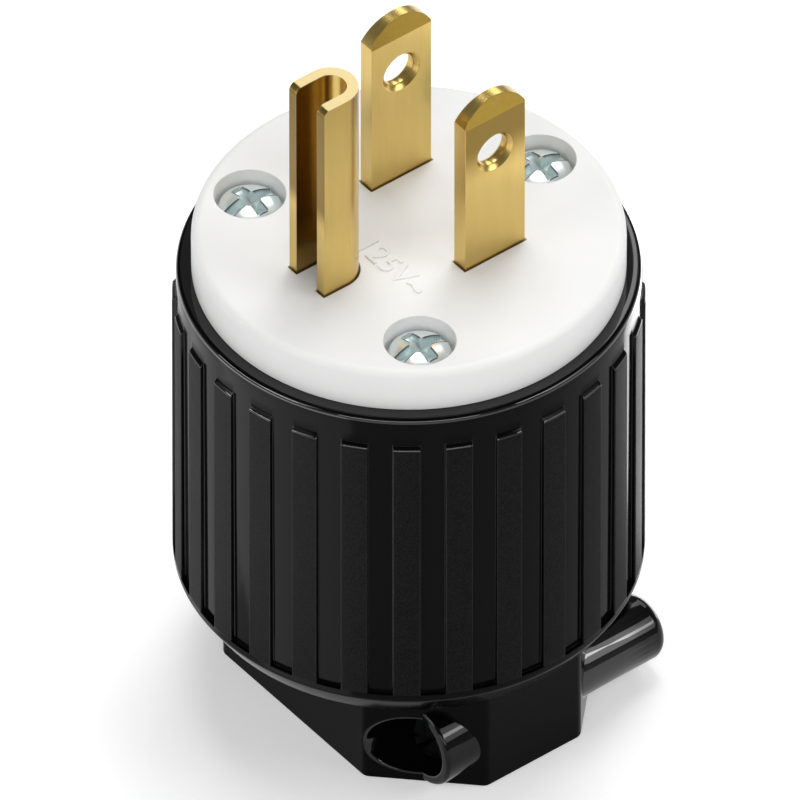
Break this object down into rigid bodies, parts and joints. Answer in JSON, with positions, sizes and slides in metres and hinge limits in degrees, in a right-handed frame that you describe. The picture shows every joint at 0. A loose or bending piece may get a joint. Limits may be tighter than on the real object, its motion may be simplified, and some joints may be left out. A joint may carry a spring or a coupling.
{
  "type": "straight blade cord connector",
  "caption": "Rewireable mains plug: ribbed black barrel on an octagonal cord neck, white face, flat blades with holes, folded ground pin, screw terminals and an internal cord clamp.",
  "frame": {"origin": "on the plug's axis, in the flat rear end of the neck that it stands on", "axes": "+Z from the cord end to the blades' tips; +X from the ground pin to the blades; +Y from the neutral blade to the hot blade"},
  "size_m": [0.04, 0.04, 0.0693],
  "materials": {
    "white_nylon": "satin moulded",
    "black_nylon": "glossy, with matte ribs",
    "grey_moulding": "matte moulded",
    "brass": "fine brushed",
    "brass_screw": "plain",
    "zinc_plate": "bright zinc",
    "green_screw": "green dyed"
  },
  "bodies": {
    "root": {"front_face": "white_nylon", "rear_housing": "black_nylon", "terminal_carrier": "grey_moulding", "hot_blade": "brass", "neutral_blade": "brass", "ground_pin": "brass", "hot_terminal_screw": "brass_screw", "neutral_terminal_screw": "zinc_plate", "ground_terminal_screw": "green_screw", "hot_pressure_plate": "brass_screw", "neutral_pressure_plate": "brass_screw", "ground_pressure_plate": "brass_screw", "face_screw_blade_side": "zinc_plate", "face_screw_hot_side": "zinc_plate", "face_screw_neutral_side": "zinc_plate", "threaded_insert_blade_side": "brass_screw", "threaded_insert_hot_side": "brass_screw", "threaded_insert_neutral_side": "brass_screw", "moving_clamp_jaw": "grey_moulding", "fixed_clamp_jaw": "grey_moulding", "clamp_screw_hot_side": "zinc_plate", "clamp_screw_neutral_side": "zinc_plate"}
  },
  "joints": []
}
